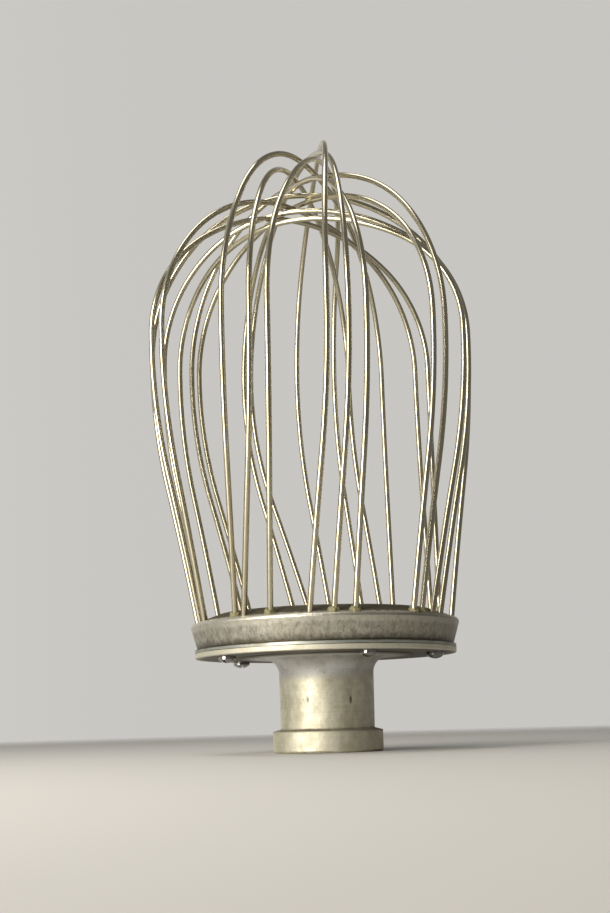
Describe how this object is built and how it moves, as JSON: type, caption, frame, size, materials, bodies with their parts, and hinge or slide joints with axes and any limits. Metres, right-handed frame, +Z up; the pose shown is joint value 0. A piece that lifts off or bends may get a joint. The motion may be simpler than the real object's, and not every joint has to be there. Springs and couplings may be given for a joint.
{
  "type": "mixer wire whip",
  "caption": "Balloon-shaped wire whip for a planetary mixer: crossing steel wire loops held in a cast ring screwed to a socket hub that slides onto the mixer shaft.",
  "frame": {"origin": "centre of the shaft bore's mouth, in the flat end face of the hub's collar", "axes": "+Z runs up the bore axis through the balloon, -Y is the side the picture shows, +X is to its right"},
  "size_m": [0.1589, 0.1588, 0.2964],
  "materials": {
    "hub_casting": "satin, turned",
    "ring_casting": "cast, worn",
    "plate_metal": "satin",
    "wire_steel": "drawn, polished",
    "screw_steel": "polished"
  },
  "bodies": {
    "root": {"hub": "hub_casting", "retaining_plate": "plate_metal", "wire_ring": "ring_casting", "wire_loop_01": "wire_steel", "wire_loop_02": "wire_steel", "wire_loop_03": "wire_steel", "wire_loop_04": "wire_steel", "wire_loop_05": "wire_steel", "wire_loop_06": "wire_steel", "wire_loop_07": "wire_steel", "wire_loop_08": "wire_steel", "wire_loop_09": "wire_steel", "wire_loop_10": "wire_steel", "wire_loop_11": "wire_steel", "wire_loop_12": "wire_steel", "wire_loop_13": "wire_steel", "flange_screw_1": "screw_steel", "flange_screw_2": "screw_steel", "flange_screw_3": "screw_steel", "flange_screw_4": "screw_steel", "flange_screw_5": "screw_steel"}
  },
  "joints": []
}
